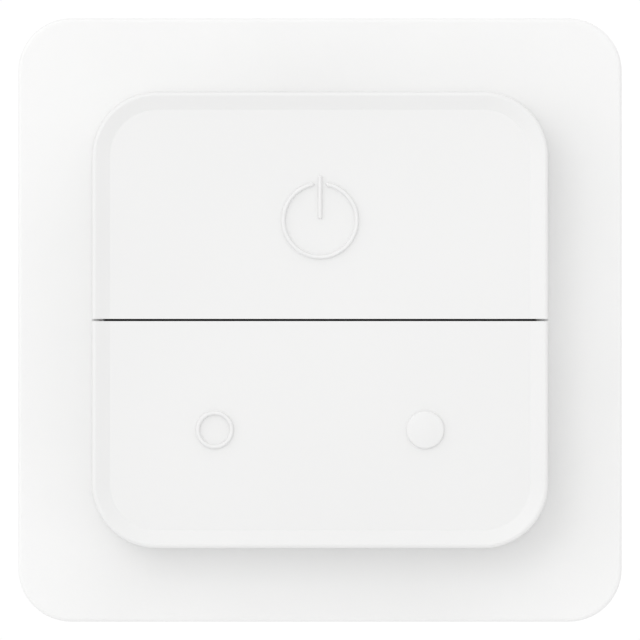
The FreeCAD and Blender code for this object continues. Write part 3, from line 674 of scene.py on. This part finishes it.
class WALLSWITCH_OT_screws(bpy.types.Operator):
    """Make the four cross-recessed screws that hold the housing"""

    bl_idname = "wallswitch.screws"
    bl_label = "Make housing screws"

    def execute(self, context):
        settings = context.scene.wallswitch_screws
        low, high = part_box("housing_screws")
        reach = high.x - settings.head / 2
        first_turn = 0.4
        next_turn = 0.7
        screw = self.cut_recess(settings, high.y, self.turned(settings, low.y, high.y))
        group = bmesh.new()
        for index, (across, up) in enumerate(((-1, -1), (-1, 1), (1, -1), (1, 1))):
            turn = Matrix.Rotation(first_turn + next_turn * index, 4, "Y")
            place = Matrix.Translation((across * reach, 0.0, up * reach))
            one = screw.copy()
            one.transform(place @ turn)
            group.from_mesh(one)
            bpy.data.meshes.remove(one)
        bpy.data.meshes.remove(screw)
        steel = plated("screw_steel_finish", context.scene.wallswitch_finish.screw, rough=0.3)
        piece = new_piece("threaded_screws", group, "remote", steel)
        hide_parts("housing_screws")
        return {"FINISHED"}

    def turned(self, settings, tip, back):
        """A screw along Y: domed head at the back, helical thread and pointed tip."""
        under = back - settings.head_height
        rings = []
        for step in range(settings.dome_steps + 1):
            turn = math.pi / 2 * step / settings.dome_steps
            inset = settings.dome * (1 - math.sin(turn))
            rings.append((settings.head / 2 - inset, back - settings.dome * (1 - math.cos(turn)), 0.0))
        rings.append((settings.head / 2, under, 0.0))
        rings.append((settings.shank / 2 - settings.thread, under, 0.0))
        for step in range(1, settings.thread_steps):
            along = step / settings.thread_steps
            taper = min(1.0, (1 - along) / settings.point)
            level = under + (tip - under) * along
            rings.append((settings.shank / 2 * taper, level, settings.thread * taper))
        shape = bmesh.new()
        close_loops(shape, [self.thread_loop(shape, settings, *ring) for ring in rings])
        return mesh_of(shape, "screw")

    def thread_loop(self, shape, settings, radius, level, depth):
        """Vertices around the screw at one level, lower where the thread's groove passes."""
        loop = []
        for step in range(settings.steps):
            around = step / settings.steps
            phase = (level / settings.pitch + around) % 1.0
            reach = radius - depth * abs(2 * phase - 1)
            turn = 2 * math.pi * around
            loop.append(shape.verts.new((reach * math.cos(turn), level, reach * math.sin(turn))))
        return loop

    def cut_recess(self, settings, back, screw):
        """The screw with a tapering cross cut into its head."""
        arm, half = settings.recess / 2, settings.blade / 2
        corners = [(half, arm), (half, half), (arm, half), (arm, -half), (half, -half), (half, -arm)]
        cross = corners + [(-x, -z) for x, z in corners]
        mouth_share = 1.1
        foot_share = 0.5
        overshoot = 0.2 * settings.depth
        shape = bmesh.new()
        loops = [
            add_loop(shape, [(width * x, width * z) for x, z in cross], level)
            for width, level in ((mouth_share, back + overshoot), (foot_share, back - settings.depth))
        ]
        close_loops(shape, loops)
        cutter = bpy.data.objects.new("recess_cutter", mesh_of(shape, "recess_cutter"))
        blank = bpy.data.objects.new("screw_blank", screw)
        for each in (cutter, blank):
            bpy.context.scene.collection.objects.link(each)
        cut = blank.modifiers.new("recess", "BOOLEAN")
        cut.object = cutter
        cut.operation = "DIFFERENCE"
        cut.solver = "EXACT"
        bpy.context.view_layer.update()
        depsgraph = bpy.context.evaluated_depsgraph_get()
        result = bpy.data.meshes.new_from_object(blank.evaluated_get(depsgraph))
        for each in (cutter, blank):
            mesh = each.data
            bpy.data.objects.remove(each)
            bpy.data.meshes.remove(mesh)
        return result


class WALLSWITCH_OT_stage(bpy.types.Operator):
    """Set up the floor, the soft light and the camera"""

    bl_idname = "wallswitch.stage"
    bl_label = "Set up stage"

    def execute(self, context):
        settings = context.scene.wallswitch_stage
        self.light_world(context.scene, settings)
        self.add_light("front_light", place=(-0.35, -1.5, 0.35), size=0.5, watts=settings.front_power)
        self.add_light("back_light", place=(0.6, 1.0, 0.7), size=0.9, watts=settings.back_power)
        self.add_floor(settings)
        self.add_camera(context.scene, settings)
        return {"FINISHED"}

    def light_world(self, scene, settings):
        """Even light from all around, with a white background behind the object."""
        world = bpy.data.worlds.new("studio")
        world.use_nodes = True
        scene.world = world
        sky = Finish(world.node_tree)
        heading = sky.node("ShaderNodeTexCoord", output="Generated")
        light = sky.glow("ShaderNodeBackground", settings.sky_left)
        for letter, low, high, strength in (
            ("X", -0.8, 0.8, settings.sky_right),
            ("Z", 0.1, 0.9, settings.sky_top),
            ("Y", -0.1, 0.35, settings.sky_back),
        ):
            along = sky.node("ShaderNodeSeparateXYZ", None, {0: heading}, letter)
            other = sky.glow("ShaderNodeBackground", strength)
            light = sky.mix(sky.within(along, low, high, smooth=True), light, other)
        backdrop = sky.glow("ShaderNodeBackground", settings.backdrop)
        sky.node("ShaderNodeOutputWorld", None, {"Surface": sky.mix(sky.seen(), light, backdrop)})
        scene.view_settings.view_transform = "Standard"
        scene.view_settings.look = "None"
        scene.view_settings.exposure = 0.0
        scene.view_settings.gamma = 1.0

    def add_light(self, name, place, size, watts):
        """A square soft light turned towards the object."""
        aim = Vector((0.0, -10 * MM, 0.0))
        data = bpy.data.lights.new(name, "AREA")
        data.shape = "SQUARE"
        data.size = size
        data.energy = watts
        light = bpy.data.objects.new(name, data)
        light.location = place
        light.rotation_euler = (aim - light.location).to_track_quat("-Z", "Y").to_euler()
        light.visible_camera = False
        bpy.context.scene.collection.objects.link(light)

    def add_floor(self, settings):
        """A round pale floor whose rim fades into the background, and which lights the object evenly."""
        shape = bmesh.new()
        bmesh.ops.create_circle(shape, cap_ends=True, segments=96, radius=settings.floor_radius)
        mesh = mesh_of(shape, "floor")
        material, finish = new_finish("floor_paint", settings.floor)
        where = finish.place()
        reach = finish.node("ShaderNodeVectorMath", {"operation": "LENGTH"}, {0: where}, "Value")
        past = finish.within(reach, settings.floor_plain, settings.floor_faded, smooth=True)
        fade = settings.floor_haze + (1 - settings.floor_haze) * past
        dull, bright = scaled(settings.floor, 0.985), scaled(settings.floor, 1.015)
        shade = finish.tint(finish.noise(50 * MM), dull, bright)
        paint = finish.node("ShaderNodeBsdfDiffuse", None, {"Color": shade})
        rim = finish.glow("ShaderNodeEmission", settings.floor_rim)
        light = finish.glow("ShaderNodeEmission", settings.floor_light)
        mixed = finish.mix(finish.seen(), light, finish.mix(fade, paint, rim))
        finish.node("ShaderNodeOutputMaterial", None, {"Surface": mixed})
        mesh.materials.append(material)
        floor = bpy.data.objects.new("floor", mesh)
        floor.location = (0.0, 0.0, CAD_BOX[0][2] - settings.floor_drop)
        bpy.context.scene.collection.objects.link(floor)

    def add_camera(self, scene, settings):
        """A long lens straight in front of the plate."""
        data = bpy.data.cameras.new("camera")
        data.lens = data.sensor_width * settings.distance / settings.width
        camera = bpy.data.objects.new("camera", data)
        camera.location = (0.0, -settings.plate_depth - settings.distance, 0.0)
        camera.rotation_euler = (math.pi / 2, 0.0, 0.0)
        scene.collection.objects.link(camera)
        scene.camera = camera


class WALLSWITCH_PT_sidebar(bpy.types.Panel):
    """Pieces and stage of the wall switch"""

    bl_idname = "WALLSWITCH_PT_sidebar"
    bl_label = "Wall Switch"
    bl_space_type = "VIEW_3D"
    bl_region_type = "UI"
    bl_category = "Wall Switch"

    def draw(self, context):
        for operator in OPERATORS:
            self.layout.operator(operator.bl_idname)
        for name in SETTINGS:
            group = getattr(context.scene, name)
            box = self.layout.box()
            for each in group.bl_rna.properties:
                if not each.is_readonly and each.identifier != "name":
                    box.prop(group, each.identifier)


SETTINGS = {
    "wallswitch_finish": FinishSettings,
    "wallswitch_signs": SignSettings,
    "wallswitch_screws": ScrewSettings,
    "wallswitch_stage": StageSettings,
}
OPERATORS = (
    WALLSWITCH_OT_plate,
    WALLSWITCH_OT_housing,
    WALLSWITCH_OT_keys,
    WALLSWITCH_OT_metal,
    WALLSWITCH_OT_board,
    WALLSWITCH_OT_power_sign,
    WALLSWITCH_OT_dimmer_signs,
    WALLSWITCH_OT_screws,
    WALLSWITCH_OT_stage,
)
CLASSES = (*SETTINGS.values(), *OPERATORS, WALLSWITCH_PT_sidebar)


def register():
    """Makes the settings, the operators and the sidebar known to Blender."""
    for each in CLASSES:
        bpy.utils.register_class(each)
    for name, group in SETTINGS.items():
        setattr(bpy.types.Scene, name, PointerProperty(type=group))


def unregister():
    """Takes back what register did."""
    for name in SETTINGS:
        delattr(bpy.types.Scene, name)
    for each in reversed(CLASSES):
        bpy.utils.unregister_class(each)


def main():
    """Builds every piece in order."""
    register()
    for operator in OPERATORS:
        family, action = operator.bl_idname.split(".")
        getattr(getattr(bpy.ops, family), action)()


if __name__ == "__main__":
    main()
